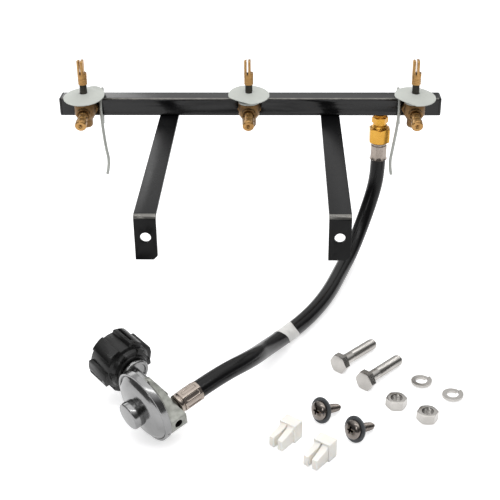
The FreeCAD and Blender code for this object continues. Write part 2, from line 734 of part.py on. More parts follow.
def build_inlet():
    collar = turned([(nipple_radius, collar_start + 1.6), (9.4, collar_start + 1.6), (10.0, collar_start),
                     (collar_radius - 0.8, collar_start), (collar_radius, collar_start + 0.8),
                     (collar_radius, collar_end), (nipple_radius, collar_end)])
    save("inlet_collar", at_regulator(along_inlet(collar)))

    seat = boss_end + turning_gap
    nipple = turned([(0, boss_end - 3.4), (nipple_thread, boss_end - 3.4), (nipple_thread, seat),
                     (nipple_radius, seat), (nipple_radius, 52.0), (nipple_flange, 52.0),
                     (nipple_flange, 55.0), (nipple_nose, 57.0), (nipple_nose, nipple_end - 3.0),
                     (nipple_nose - 1.6, nipple_end), (0, nipple_end)])
    nipple = nipple.cut(upright(1.8, 0, 0, 20, 56.0))
    nipple = nipple.cut(upright(3.0, 0, 0, 56.2 - poppet_travel, 62.0))
    nipple = nipple.cut(upright(2.0, 0, 0, 61, nipple_end + 1))
    save("inlet_nipple", at_regulator(along_inlet(nipple)))

    bushing = turned([(nipple_radius, nut_hub_start), (bushing_radius, nut_hub_start), (bushing_radius, 47.9),
                      (14.5, 47.9), (14.5, 51.9), (nipple_radius, 51.9)])
    save("thermal_bushing", at_regulator(along_inlet(bushing)))

    hole = bushing_radius + turning_gap
    hub = nut_hub_radius
    nut = turned([(hole, nut_hub_start), (hub - 0.6, nut_hub_start), (hub, nut_hub_start + 0.6),
                  (hub, nut_shoulder), (hub + 2.6, nut_shoulder + 0.6), (hub + 3.8, nut_grip_start - 1.6),
                  (valley_radius, nut_grip_start), (valley_radius, nut_mouth), (nut_bore, nut_mouth),
                  (nut_bore, 47.6), (hole, 47.6)])
    for i in range(lobes):
        # each grip is folded along its middle, with a lower rib running down the shoulder
        half = grip_width / 2
        outline = [(valley_radius - 3, -half), (grip_radius - 0.9, -half), (grip_radius - 0.4, -half + 0.9),
                   (grip_radius, 0), (grip_radius - 1.6, half - 0.9), (grip_radius - 2.2, half),
                   (valley_radius - 3, half), (valley_radius - 3, -half)]
        face = Part.Face(Part.makePolygon([V(x, y, nut_grip_start) for x, y in outline]))
        grip = face.extrude(V(0, 0, nut_mouth - 0.8 - nut_grip_start))
        rib = block(hub - 1, valley_radius - 1.6, 0, half - 0.6, nut_shoulder, nut_grip_start + 1)
        grip = grip.fuse(rib)
        grip.rotate(V(0, 0, 0), V(0, 0, 1), 360.0 / lobes * i)
        nut = nut.fuse(grip)
    # every other grip has a slot, and all of them taper towards the mouth
    for i in range(0, lobes, 2):
        slot = block(grip_radius - 0.5 - grip_slot_depth, grip_radius + 1, -3.9, -1.5,
                     nut_grip_start + 4.0, nut_mouth - grip_taper_length - 1.0)
        slot.rotate(V(0, 0, 0), V(0, 0, 1), 360.0 / lobes * i)
        nut = nut.cut(slot)
    taper_start = nut_mouth - grip_taper_length
    beyond = grip_radius + 1
    outer = turned([(0, nut_hub_start - 1), (beyond, nut_hub_start - 1), (beyond, taper_start),
                    (grip_radius, taper_start), (grip_radius - grip_taper, nut_mouth), (0, nut_mouth)])
    nut = nut.common(outer)
    nut = nut.cut(upright(nut_bore, 0, 0, 47.6, nut_mouth + 1)).removeSplitter()
    save("coupling_nut", at_regulator(along_inlet(nut)))

    poppet = turned([(0, 56.5), (poppet_radius, 56.5), (poppet_radius, 59.2), (1.2, 60.8), (0, 60.8)])
    save("check_poppet", at_regulator(along_inlet(poppet)))


# hose: from the upper ferrule down to the floor and along it to the regulator

def hose_points():
    regulator = FreeCAD.Placement(regulator_centre,
                                  FreeCAD.Rotation(V(1, 0, 0), up_direction, cap_direction, "ZYX"))
    end = regulator.multVec(V(outlet_x, outlet_y, -lower_ferrule_end))
    before = regulator.multVec(V(outlet_x, outlet_y, -lower_ferrule_end - hose_last_run))
    start = V(fitting_x, arm_reach + tube_side / 2, hole_drop - ferrule_end)
    route = [V(fitting_x + x, y, z) for x, y, z in hose_route]
    below = V(start.x, start.y, start.z - hose_first_run)
    return [start, below] + route + [before, end]


def build_hose():
    points = hose_points()
    edges, radii = rounded_route(points)
    for point in points:
        print("hose point  (%.1f, %.1f, %.1f)" % (point.x, point.y, point.z))
    print("hose radii ", " ".join("%.0f" % r for r in radii), " in diameters",
          " ".join("%.1f" % (r / 2 / hose_radius) for r in radii))
    length = sum(edge.Length for edge in edges)
    tube = swept(edges, hose_radius).cut(swept(edges, hose_bore))
    expected = math.pi * (hose_radius ** 2 - hose_bore ** 2) * length
    print("hose length %.1f mm, volume %.0f of %.0f mm3" % (length, tube.Volume, expected))
    save("hose", tube)
    part = cut_route(edges, label_start, label_end)
    label = swept(part, hose_radius + label_thick).cut(swept(part, hose_radius + label_gap))
    save("hose_label", label)


# loose fixings, lying on the floor in front of the manifold

def on_floor(shape, x, y, height, bearing, dip=0.0):
    # the shape's z axis points along the bearing, tipped down by the dip
    a, d = math.radians(bearing), math.radians(dip)
    along = V(math.cos(a) * math.cos(d), math.sin(a) * math.cos(d), -math.sin(d))
    return placed(shape, V(x, y, floor_level + height), along)


def hex_bolt():
    half = bolt_flats / 2
    head = prism(6, bolt_flats, 0, bolt_head)
    dome = turned([(0, 0), (half - 0.3, 0), (half + 1.5, 1.0), (half + 1.5, bolt_head), (0, bolt_head)])
    plain_end = bolt_length * 0.36
    shank = turned([(0, bolt_head), (bolt_shank, bolt_head), (bolt_shank, plain_end),
                    (bolt_shank - 0.2, plain_end + 0.3), (bolt_shank - 0.2, bolt_length - 1.0),
                    (bolt_shank - 1.0, bolt_length), (0, bolt_length)])
    return head.common(dome).fuse(shank)


def lock_washer():
    # almost one turn of a square-edged coil, resting on its lower end, trimmed inside and outside
    turn = 0.96
    low, high = washer_inner - 0.4, washer_outer + 0.4
    coil = Part.makeHelix(washer_rise, washer_rise * turn, (low + high) / 2)
    corners = [V(low, 0, 0), V(high, 0, 0), V(high, 0, washer_thick), V(low, 0, washer_thick), V(low, 0, 0)]
    washer = Part.Wire(coil.Edges).makePipeShell([Part.makePolygon(corners)], True, True)
    ring = upright(washer_outer, 0, 0, -1, 9).cut(upright(washer_inner, 0, 0, -2, 10))
    washer = washer.common(ring)
    washer.rotate(V(0, 0, 0), V(0, 0, 1), 48)
    return washer


def hex_nut():
    body = prism(6, bolt_flats, 0, hex_nut_height)
    half = bolt_flats / 2
    chamfer = turned([(0, 0), (half - 0.3, 0), (half + 1.5, 0.9), (half + 1.5, hex_nut_height - 0.9),
                      (half - 0.3, hex_nut_height), (0, hex_nut_height)])
    return body.common(chamfer).cut(upright(hex_nut_bore, 0, 0, -1, hex_nut_height + 1))


def pan_screw():
    top = -pan_head_height
    head = turned([(0, top), (pan_head * 0.45, top + 0.3), (pan_head * 0.8, top + 1.5), (pan_head, top + 3.9),
                   (pan_head, 0), (0, 0)])
    shank = turned([(0, 0), (pan_shank, 0), (pan_shank, pan_length - 2.5), (pan_shank * 0.45, pan_length),
                    (0, pan_length)])
    arm, half = pan_head * 0.43, pan_head * 0.11
    head = head.fuse(shank)
    for x, y in ((arm, half), (half, arm)):
        head = head.cut(block(-x, x, -y, y, top - 1, top + 3))
    return head


def screw_washer():
    ring = upright(pan_washer, 0, 0, 0, pan_washer_thick)
    return ring.cut(upright(pan_shank + turning_gap * 2, 0, 0, -1, pan_washer_thick + 1))


def nylon_insert():
    # lies on its side: z runs from the square head to the two prongs, y is up
    half, high, root, tip = insert_width / 2, insert_height, insert_head, insert_length
    head = block(-half, half, 0, high, 0, root)
    outer = half * 0.84
    outline = [V(-outer, high * 0.06, root), V(-outer, high * 0.9, root), V(-outer, high * 0.78, root + 3.5),
               V(-outer, insert_tip_high, tip), V(-outer, insert_tip_low, tip), V(-outer, high * 0.06, root)]
    prongs = Part.Face(Part.makePolygon(outline)).extrude(V(2 * outer, 0, 0))
    slot = Part.makePolygon([V(-0.6, -1, root), V(0.6, -1, root), V(2.0, -1, tip + 1), V(-2.0, -1, tip + 1),
                             V(-0.6, -1, root)])
    prongs = prongs.cut(Part.Face(slot).extrude(V(0, high + 2, 0)))
    return head.fuse(prongs).cut(rod(half * 0.34, V(0, high / 2, -1), V(0, 0, 1), root + 1.01))


def build_fixings():
    half = bolt_flats / 2
    lean = math.asin((half - bolt_shank) / bolt_length)
    height = half * math.cos(lean) + bolt_head * math.sin(lean) + turning_gap
    dip = math.degrees(lean)
    save("hex_bolts", [on_floor(hex_bolt(), x, y, height, bolt_bearing, dip) for x, y in bolt_places])
    save("hex_nuts", [moved(hex_nut(), x, y, floor_level) for x, y in hex_nut_places])
    save("lock_washers", [moved(lock_washer(), x, y, floor_level) for x, y in washer_places])
    lean = math.radians(pan_dip)
    height = pan_washer * math.cos(lean) + pan_washer_thick * math.sin(lean) + turning_gap
    for name, shape in (("pan_screws", pan_screw()), ("screw_washers", screw_washer())):
        save(name, [on_floor(shape, x, y, height, pan_bearing, pan_dip) for x, y in pan_places])
    save("nylon_inserts", [on_floor(nylon_insert(), x, y, 0, insert_bearing) for x, y in insert_places])


build_tube()
build_caps()
build_bracket("bracket_left", -bracket_pitch / 2)
build_bracket("bracket_right", bracket_pitch / 2)
build_valves()
build_wire("wire_clip_left", -1, left_wire)
build_wire("wire_clip_right", 1, right_wire)
build_fitting()
build_regulator_body()
build_regulator_cover()
build_diaphragm()
build_lever()
build_outlet()
build_inlet()
build_hose()
build_fixings()
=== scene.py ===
import bpy, bmesh, json, math
import numpy as np
from mathutils import Matrix, Vector


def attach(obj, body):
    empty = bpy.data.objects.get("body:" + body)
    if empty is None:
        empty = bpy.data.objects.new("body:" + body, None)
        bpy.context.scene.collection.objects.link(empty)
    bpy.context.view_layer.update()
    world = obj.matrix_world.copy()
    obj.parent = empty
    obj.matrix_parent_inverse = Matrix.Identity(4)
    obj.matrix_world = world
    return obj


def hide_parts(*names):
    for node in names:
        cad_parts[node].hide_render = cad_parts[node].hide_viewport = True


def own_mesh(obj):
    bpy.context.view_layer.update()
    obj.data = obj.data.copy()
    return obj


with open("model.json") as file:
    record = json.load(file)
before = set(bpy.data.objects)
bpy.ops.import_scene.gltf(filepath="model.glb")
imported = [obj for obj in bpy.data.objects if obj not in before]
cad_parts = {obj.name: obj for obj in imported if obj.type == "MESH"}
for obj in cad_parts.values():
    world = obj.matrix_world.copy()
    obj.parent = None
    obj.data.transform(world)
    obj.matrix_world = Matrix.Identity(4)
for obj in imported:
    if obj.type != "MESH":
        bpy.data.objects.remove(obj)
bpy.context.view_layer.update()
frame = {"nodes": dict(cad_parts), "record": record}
scene = bpy.context.scene
record = frame["record"]
bodyOf = {name: body for body, names in record["behaviour"]["bodies"].items() for name in names}
slotOf = {part["node"]: part["material_slot"] for part in record["subparts"]}
jointOf = {joint["name"]: joint for joint in record["behaviour"]["joints"]}
mm = 0.001
print("frame loaded:", len(frame["nodes"]), "nodes")

# camera, at the place and tilt of the photo; place in metres, turns in degrees
cameraLook = {"place": (0.0315, -0.7920, 0.4190), "down": 28.5, "aside": -1.83, "roll": -0.63,
              "lens": 76.68, "sensor": 36, "nearest": 0.05}


def placeCamera(look):
    down, aside, roll = (math.radians(look[k]) for k in ("down", "aside", "roll"))
    ahead = Vector((math.sin(aside) * math.cos(down), math.cos(aside) * math.cos(down), -math.sin(down)))
    right = Vector((math.cos(aside), -math.sin(aside), 0))
    up = right.cross(ahead)
    rightTurned = right * math.cos(roll) + up * math.sin(roll)
    upTurned = up * math.cos(roll) - right * math.sin(roll)
    camera = bpy.data.objects.new("camera", bpy.data.cameras.new("camera"))
    scene.collection.objects.link(camera)
    camera.data.lens = look["lens"]
    camera.data.sensor_width = look["sensor"]
    camera.data.sensor_fit = "HORIZONTAL"
    camera.data.clip_start = look["nearest"]
    turn = Matrix((rightTurned, upTurned, -ahead)).transposed().to_4x4()
    camera.matrix_world = Matrix.Translation(look["place"]) @ turn
    scene.camera = camera


placeCamera(cameraLook)
print("camera placed")


# finishes, all made of nodes; colours are read off a screen, from 0 to 255

def screen(*colour):
    shares = (c / 255 for c in colour)
    return tuple(((s + 0.055) / 1.055) ** 2.4 if s > 0.04 else s / 12.92 for s in shares) + (1,)


# what a finish has where its own look doesn't say otherwise. Three noises vary it: mottle its colour,
# spots its gloss and grain its surface; ends are the noise levels at which a change starts and is full
plainLook = {"metal": 0, "ior": 1.5, "mottle": 60, "mottleEnds": (0.3, 0.72), "spots": 350,
             "spotEnds": (0.25, 0.75), "grain": 900, "bump": 0.3, "depth": 0.00008}


def makeFinish(name, look):
    look = {**plainLook, **look}
    material = bpy.data.materials.new(name)
    material.use_nodes = True
    nodes, links = material.node_tree.nodes, material.node_tree.links
    shader = nodes["Principled BSDF"]
    shader.inputs["Metallic"].default_value = look["metal"]
    shader.inputs["IOR"].default_value = look["ior"]
    if "through" in look:
        shader.inputs["Subsurface Weight"].default_value = look["through"]
        shader.inputs["Subsurface Radius"].default_value = look["reach"]
        shader.inputs["Subsurface Scale"].default_value = look["reachScale"]
    place = nodes.new("ShaderNodeTexCoord")

    def grain(scale, detail=4.0, rough=0.55):
        node = nodes.new("ShaderNodeTexNoise")
        node.inputs["Scale"].default_value = scale
        node.inputs["Detail"].default_value = detail
        node.inputs["Roughness"].default_value = rough
        links.new(place.outputs["Object"], node.inputs["Vector"])
        return node.outputs["Fac"]

    ramp = nodes.new("ShaderNodeValToRGB")
    colours = (look["dark"], look["light"])
    for element, position, colour in zip(ramp.color_ramp.elements, look["mottleEnds"], colours):
        element.position = position
        element.color = screen(*colour)
    links.new(grain(look["mottle"]), ramp.inputs["Fac"])
    links.new(ramp.outputs["Color"], shader.inputs["Base Color"])

    rough = nodes.new("ShaderNodeMapRange")
    rough.inputs["From Min"].default_value, rough.inputs["From Max"].default_value = look["spotEnds"]
    rough.inputs["To Min"].default_value, rough.inputs["To Max"].default_value = look["rough"]
    links.new(grain(look["spots"], detail=6), rough.inputs["Value"])
    links.new(rough.outputs["Result"], shader.inputs["Roughness"])

    bump = nodes.new("ShaderNodeBump")
    bump.inputs["Strength"].default_value = look["bump"]
    bump.inputs["Distance"].default_value = look["depth"]
    links.new(grain(look["grain"], detail=5, rough=0.6), bump.inputs["Height"])
    links.new(bump.outputs["Normal"], shader.inputs["Normal"])
    if "weave" in look:
        # the braid under the rubber shows as fine bands across the hose
        weave = look["weave"]
        bands = nodes.new("ShaderNodeTexWave")
        bands.bands_direction = "X"
        bands.inputs["Scale"].default_value = weave["scale"]
        bands.inputs["Distortion"].default_value = weave["wander"]
        links.new(place.outputs["UV"], bands.inputs["Vector"])
        ribs = nodes.new("ShaderNodeBump")
        ribs.inputs["Strength"].default_value = weave["bump"]
        ribs.inputs["Distance"].default_value = weave["depth"]
        links.new(bands.outputs["Fac"], ribs.inputs["Height"])
        links.new(bump.outputs["Normal"], ribs.inputs["Normal"])
        links.new(ribs.outputs["Normal"], shader.inputs["Normal"])
    return material


finishLooks = {
    "blackPaint": {"dark": (15, 15, 16), "light": (20, 20, 21), "rough": (0.2, 0.28), "mottle": 25,
                   "grain": 500, "bump": 0.06, "ior": 1.42},
    # painted shade: a darker, duller copy of the same black paint as the tube, for the brackets
    "shadedBarPaint": {"dark": (11, 11, 12), "light": (16, 16, 17), "rough": (0.26, 0.34), "mottle": 25,
                 "grain": 500, "bump": 0.06, "ior": 1.25},
    # painted highlight: a lighter, more metallic copy of the black paint, for the tube's top edge and the
    # bracket bends
    "paintedHighlight": {"dark": (94, 93, 90), "light": (122, 120, 116), "metal": 0.8, "rough": (0.26, 0.36),
                       "mottle": 120, "bump": 0.05},
    "castBrass": {"dark": (92, 68, 40), "light": (138, 106, 66), "metal": 0.8, "rough": (0.34, 0.5),
                  "mottle": 110, "grain": 1400, "bump": 0.35},
    "brass": {"dark": (160, 120, 70), "light": (190, 150, 94), "metal": 0.8, "rough": (0.26, 0.36),
              "mottle": 60, "grain": 300, "bump": 0.02},
    "yellowBrass": {"dark": (196, 144, 52), "light": (214, 164, 72), "metal": 0.8, "rough": (0.2, 0.26),
                    "mottle": 60, "grain": 300, "bump": 0.02},
    "darkSteel": {"dark": (50, 48, 42), "light": (68, 66, 58), "metal": 0.7, "rough": (0.35, 0.5),
                  "mottle": 200, "bump": 0.1},
    "brightSteel": {"dark": (142, 132, 124), "light": (162, 152, 143), "metal": 1, "rough": (0.16, 0.24),
                    "mottle": 90, "bump": 0.03},
    "satinWire": {"dark": (158, 160, 155), "light": (174, 176, 171), "metal": 0.5, "rough": (0.38, 0.46),
                  "mottle": 25, "grain": 200, "bump": 0.02},
    "greyDisc": {"dark": (186, 190, 184), "light": (196, 199, 193), "rough": (0.5, 0.62), "mottle": 45,
                 "bump": 0.05},
    "dieCast": {"dark": (122, 124, 118), "light": (168, 169, 162), "metal": 0.5, "rough": (0.3, 0.5),
                "mottle": 140, "grain": 900, "bump": 0.55},
    "zincCover": {"dark": (124, 124, 124), "light": (142, 142, 142), "metal": 1, "rough": (0.14, 0.22),
                  "mottle": 50, "bump": 0.02},
    "blackPlastic": {"dark": (12, 12, 12), "light": (18, 18, 18), "rough": (0.24, 0.34), "mottle": 80,
                     "grain": 1600, "bump": 0.15, "ior": 1.38},
    "hoseRubber": {"dark": (11, 11, 12), "light": (16, 16, 17), "rough": (0.16, 0.24), "mottle": 120,
                   "grain": 700, "bump": 0.05, "ior": 1.3,
                   "weave": {"scale": 60, "wander": 0.4, "bump": 0.25, "depth": 0.0001}},
    "labelFilm": {"dark": (212, 211, 208), "light": (234, 233, 230), "rough": (0.35, 0.5), "mottle": 160,
                  "grain": 250, "bump": 0.4},
    "innerRubber": {"dark": (28, 28, 28), "light": (40, 40, 40), "rough": (0.55, 0.7)},
    "stainless": {"dark": (166, 163, 159), "light": (184, 181, 177), "metal": 1, "rough": (0.16, 0.24),
                  "mottle": 60, "grain": 300, "bump": 0.02},
    "blackSteel": {"dark": (104, 98, 94), "light": (132, 125, 119), "metal": 1, "rough": (0.14, 0.22),
                   "mottle": 160, "bump": 0.04},
    "greyRubber": {"dark": (66, 69, 72), "light": (82, 85, 88), "rough": (0.42, 0.55), "mottle": 150,
                   "bump": 0.1},
    "whiteNylon": {"dark": (246, 241, 233), "light": (250, 246, 240), "rough": (0.36, 0.5), "mottle": 60,
                   "bump": 0.05, "through": 0.8, "reach": (0.004, 0.0035, 0.003), "reachScale": 0.6},
    "shadowHole": {"dark": (22, 19, 16), "light": (34, 30, 26), "metal": 0.5, "rough": (0.5, 0.6)},
}
finishes = {name: makeFinish(name, look) for name, look in finishLooks.items()}
slotFinish = {
    "black_paint": "blackPaint", "cast_brass": "castBrass", "brass": "brass",
    "yellow_brass": "yellowBrass", "dark_steel": "darkSteel", "bright_steel": "brightSteel",
    "satin_wire": "satinWire", "spring_steel": "brightSteel", "grey_disc": "greyDisc",
    "die_cast": "dieCast", "zinc_cover": "zincCover", "black_plastic": "blackPlastic",
    "hose_rubber": "hoseRubber", "label_film": "labelFilm", "diaphragm_rubber": "innerRubber",
    "stainless": "stainless", "black_steel": "blackSteel", "grey_rubber": "greyRubber",
    "white_nylon": "whiteNylon",
}
for name, node in frame["nodes"].items():
    node.data.materials.clear()
    node.data.materials.append(finishes[slotFinish[slotOf[name]]])
print("finishes made:", len(finishes))


# helpers that turn meshes into pieces

def addPiece(name, mesh, node, finish=None):
    # a piece that stands for a node, rides where it rides and has its finish
    piece = bpy.data.objects.new(name, mesh)
    scene.collection.objects.link(piece)
    mesh.materials.clear()
    mesh.materials.append(finishes[finish or slotFinish[slotOf[node]]])
    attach(piece, bodyOf[node])
    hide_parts(node)
    return piece


def softenEdges(piece, width, sharper=28, segments=2):
    # rounds the edges that are sharper than this many degrees, width in millimetres
    piece.data.shade_smooth()
    bevel = piece.modifiers.new("edges", "BEVEL")
    bevel.width = width * mm
    bevel.segments = segments
    bevel.limit_method = "ANGLE"
    bevel.angle_limit = math.radians(sharper)
    bevel.harden_normals = True
    bevel.miter_outer = "MITER_ARC"
    return piece


def meshFrom(name, points, faces):
    mesh = bpy.data.meshes.new(name)
    mesh.from_pydata([tuple(p) for p in points], [], faces)
    mesh.validate()
    return mesh


mendLook = {"closer": 1e-6, "flatter": 0.6}    # metres and degrees


def refined(node, width, finish=None):
    # a copy of a node's mesh with flat faces joined and its edges slightly rounded
    work = bmesh.new()
    work.from_mesh(frame["nodes"][node].data)
    bmesh.ops.remove_doubles(work, verts=work.verts, dist=mendLook["closer"])
    flat = math.radians(mendLook["flatter"])
    bmesh.ops.dissolve_limit(work, angle_limit=flat, verts=work.verts, edges=work.edges)
    mesh = bpy.data.meshes.new(node + "_fine")
    work.to_mesh(mesh)
    work.free()
    return softenEdges(addPiece(node + "_fine", mesh, node, finish), width)


def frameAt(origin, along, across):
    # a matrix whose z axis points along and whose x axis is as near as it can be to across
    z = Vector(along).normalized()
    y = z.cross(Vector(across)).normalized()
    x = y.cross(z)
    return Matrix.Translation(origin) @ Matrix((x, y, z)).transposed().to_4x4()


def turnedMesh(name, rows, matrix, sides=96):
    # rows of (radius, height) in millimetres round the matrix's z axis, outside rows running upwards;
    # either may be a number or a rule that gives it for an angle, and a row at radius 0 is a point
    points, faces, rings = [], [], []
    for radius, z in rows:
        if radius == 0:
            rings.append([len(points)] * sides)
            points.append(matrix @ Vector((0, 0, z * mm)))
            continue
        rings.append(list(range(len(points), len(points) + sides)))
        for i in range(sides):
            a = 2 * math.pi * i / sides
            r = radius(a) if callable(radius) else radius
            h = z(a) if callable(z) else z
            points.append(matrix @ (Vector((r * math.cos(a), r * math.sin(a), h)) * mm))
    pairs = list(zip(rings, rings[1:]))
    if rows[0][0] != 0 and rows[-1][0] != 0:
        pairs.append((rings[-1], rings[0]))
    for low, high in pairs:
        for i in range(sides):
            j = (i + 1) % sides
            corners = [low[i], low[j], high[j], high[i]]
            face = [c for k, c in enumerate(corners) if c not in corners[:k]]
            if len(face) > 2:
                faces.append(face)
    return meshFrom(name, points, faces)


def joinMeshes(name, meshes):
    work = bmesh.new()
    for mesh in meshes:
        work.from_mesh(mesh)
        bpy.data.meshes.remove(mesh)
    joined = bpy.data.meshes.new(name)
    work.to_mesh(joined)
    work.free()
    return joined


def threadRows(crest, depth, pitch, low, high, steps=8, inward=False, thin=0.0):
    # rows of a real helix: it swings between crest and root once per pitch, fades at its ends, and
    # gets thinner by thin towards its high end, with steps rows to a pitch
    count = int((high - low) / pitch * steps)
    heights = [low + (high - low) * j / count for j in range(count + 1)]

    def ruleAt(z):
        fade = min(1, (z - low) / pitch * 1.5, (high - z) / pitch * 1.5)
        drop = thin * ((z - low) / (high - low)) ** 4

        def rule(angle):
            swing = abs(((z / pitch - angle / (2 * math.pi)) % 1) * 2 - 1)
            cut = depth * (1 - fade + fade * min(1, swing * 1.3))
            return crest + cut if inward else crest - cut - drop
        return rule
    rows = [(ruleAt(z), z) for z in heights]
    return rows[::-1] if inward else rows


def flatsRule(flats, sides, firstFace, limit=math.inf):
    # radius of a prism with this many sides, never more than the limit
    step = 2 * math.pi / sides

    def rule(angle):
        a = (angle - math.radians(firstFace) + step / 2) % step - step / 2
        return min(flats / 2 / math.cos(a), limit)
    return rule


def hexRows(flats, firstFace, low, high, lowSlope=0.5, highSlope=0.5, inset=0.15):
    # a hexagon whose corners are turned off at its ends, as rows from low to high
    side, inner = flatsRule(flats, 6, firstFace), flats / 2 - inset
    return [(inner, low), (side, lambda a: low + (side(a) - inner) * lowSlope),
            (side, lambda a: high - (side(a) - inner) * highSlope), (inner, high)]


def sharpFrom(piece, angle):
    # smooth all over but for edges sharper than this many degrees
    piece.data.shade_smooth()
    piece.data.set_sharp_from_angle(angle=math.radians(angle))


def cutAway(piece, cutter):
    # subtracts one object from another and keeps the result as a plain mesh
    tool = piece.modifiers.new("cut", "BOOLEAN")
    tool.operation = "DIFFERENCE"
    tool.solver = "EXACT"
    tool.object = cutter
    bpy.context.view_layer.update()
    done = bpy.data.meshes.new_from_object(piece.evaluated_get(bpy.context.evaluated_depsgraph_get()))
    piece.modifiers.clear()
    piece.data = done
    bpy.data.objects.remove(cutter)


# the regulator's own frame, from its adjusting screw and its nut: x to the side port, z out through
# the cap
screwJoint, nutJoint = jointOf["adjusting_turn"], jointOf["coupling_nut_turn"]
capWay = Vector(screwJoint["axis"])
inletWay = Vector(nutJoint["axis"])
screwHeight = 13.0
regulatorFrame = frameAt(Vector(screwJoint["pos_m"]) - capWay * screwHeight * mm, capWay, -inletWay)

# hose, from the upper ferrule down to the floor and up to the regulator; x, y, z in millimetres
hoseLook = {
    "diameter": 15.6,
    "points": [(133.7, 235.5, -29.2), (133.6, 235.4, -44.8), (130.8, 232.2, -62.4),
               (124.0, 224.4, -83.1), (115.0, 210.3, -103.2), (105.1, 189.6, -117.5),
               (95.0, 164.1, -122.6), (80.2, 116.0, -122.3), (62.4, 77.7, -122.9),
               (40.9, 42.7, -121.6), (20.6, 4.2, -112.8), (7.5, -35.1, -98.0),
               (-16.6, -62.9, -94.4), (-35.3, -79.6, -98.9)],
}
curveLook = {"order": 3, "stepsAlong": 16, "stepsRound": 10}


def makeCurve(name, points, radius):
    # a round rod along points that pull it, radius in millimetres
    data = bpy.data.curves.new(name, "CURVE")
    data.dimensions = "3D"
    spline = data.splines.new("NURBS")
    spline.points.add(len(points) - 1)
    for point, place in zip(spline.points, points):
        point.co = (place[0] * mm, place[1] * mm, place[2] * mm, 1)
    spline.order_u = curveLook["order"]
    spline.use_endpoint_u = True
    spline.resolution_u = curveLook["stepsAlong"]
    data.bevel_depth = radius * mm
    data.bevel_resolution = curveLook["stepsRound"]
    return data


def routeOf(curve):
    # the points of the curve's own centre line
    bare = curve.copy()
    bare.bevel_depth = 0
    probe = bpy.data.objects.new("probe", bare)
    scene.collection.objects.link(probe)
    bpy.context.view_layer.update()
    line = bpy.data.meshes.new_from_object(probe.evaluated_get(bpy.context.evaluated_depsgraph_get()))
    route = [v.co.copy() for v in line.vertices]
    bpy.data.objects.remove(probe)
    return route


def makeHose(look):
    curve = makeCurve("hose_line", look["points"], look["diameter"] / 2)
    hose = bpy.data.objects.new("rubber_hose", curve)
    scene.collection.objects.link(hose)
    curve.materials.append(finishes["hoseRubber"])
    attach(hose, bodyOf["hose"])
    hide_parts("hose")
    return hose, routeOf(curve)


hose, hoseRoute = makeHose(hoseLook)

# the plain paper band on the hose, placed by lengths along it: its near edge is one slanting cut,
# its far edge is torn on a curve and is given at ten even turns round the hose
labelLook = {"near": 260.4, "slant": 10.3, "gap": 0.12, "thick": 0.12, "around": 72, "along": 14,
             "far": (293.0, 292.5, 292.0, 289.0, 286.0, 280.8, 280.0, 281.0, 284.0, 289.0, 293.0)}


def makeLabel(look, route):
    # turns are counted from the side of the hose, and a quarter turn on is where the camera stands
    lengths = [0]
    for a, b in zip(route, route[1:]):
        lengths.append(lengths[-1] + (b - a).length / mm)

    def at(length):
        k = min(max(int(np.searchsorted(lengths, length)), 1), len(route) - 1)
        share = (length - lengths[k - 1]) / (lengths[k] - lengths[k - 1])
        return route[k - 1].lerp(route[k], share), (route[k] - route[k - 1]).normalized()

    around, along = look["around"], look["along"]
    eye = Vector(cameraLook["place"])
    points, faces = [], []
    for layer in (0, 1):
        radius = hoseLook["diameter"] / 2 + look["gap"] + layer * look["thick"]
        for i in range(around):
            angle = 2 * math.pi * i / around
            step = i / around * (len(look["far"]) - 1)
            k = int(step)
            near = look["near"] + look["slant"] * math.sin(angle)
            far = look["far"][k] + (look["far"][k + 1] - look["far"][k]) * (step - k)
            for j in range(along + 1):
                centre, way = at(near + (far - near) * j / along)
                ahead = (eye - centre).normalized()
                side = way.cross(ahead).normalized()
                face = side.cross(way).normalized()
                points.append(centre + (side * math.cos(angle) + face * math.sin(angle)) * radius * mm)
    ring = along + 1
    layerSize = around * ring
    for i in range(around):
        a, b = i * ring, (i + 1) % around * ring
        for j in range(along):
            inner = (a + j, b + j, b + j + 1, a + j + 1)
            faces.append(tuple(corner + layerSize for corner in inner))
            faces.append((a + j, a + j + 1, b + j + 1, b + j))
        faces.append((a, b, b + layerSize, a + layerSize))
        faces.append((a + along, a + along + layerSize, b + along + layerSize, b + along))
    label = addPiece("paper_band", meshFrom("paper_band", points, faces), "hose_label")
    label.data.shade_smooth()
    return label


label = makeLabel(labelLook, hoseRoute)
print("paper band wrapped")

# solids that keep their own shape, with softened edges; widths in millimetres
softEdges = {
    "manifold_tube": 0.3, "tube_end_caps": 0.35, "bracket_left": 0.45, "bracket_right": 0.45,
    "valve_bonnets": 0.2, "bonnet_screws": 0.12, "orifice_spuds": 0.18,
    "valve_body_left": 0.5, "valve_body_middle": 0.5, "valve_body_right": 0.5,
    "valve_stem_left": 0.15, "valve_stem_middle": 0.15, "valve_stem_right": 0.15,
    "stem_sleeve_left": 0.16, "stem_sleeve_middle": 0.16, "stem_sleeve_right": 0.16,
    "regulator_body": 0.5, "inlet_collar": 0.25, "inlet_nipple": 0.2, "outlet_barb": 0.2,
    "hose_stem": 0.2, "coupling_nut": 0.35, "nylon_inserts": 1.1,
}
# the brackets take the darker copy of the black paint, which is painted shade
otherFinish = {"inlet_collar": "zincCover", "inlet_nipple": "zincCover", "bracket_left": "shadedBarPaint",
               "bracket_right": "shadedBarPaint"}
# painted highlight on the tube's top edge and the bracket bends, put on faces picked by which way they face
highlightLook = {"nodes": ("manifold_tube", "bracket_left", "bracket_right"), "slope": 0.3, "aside": 0.2}


def paintHighlight(piece, look):
    # painted highlight: the faces that slope halfway between front and top get a lighter, glossier copy of
    # the paint, which stands in for the lamps' bright reflection there
    piece.data.materials.append(finishes["paintedHighlight"])
    for face in piece.data.polygons:
        x, y, z = face.normal
        if y < -look["slope"] and z > look["slope"] and abs(x) < look["aside"]:
            face.material_index = 1


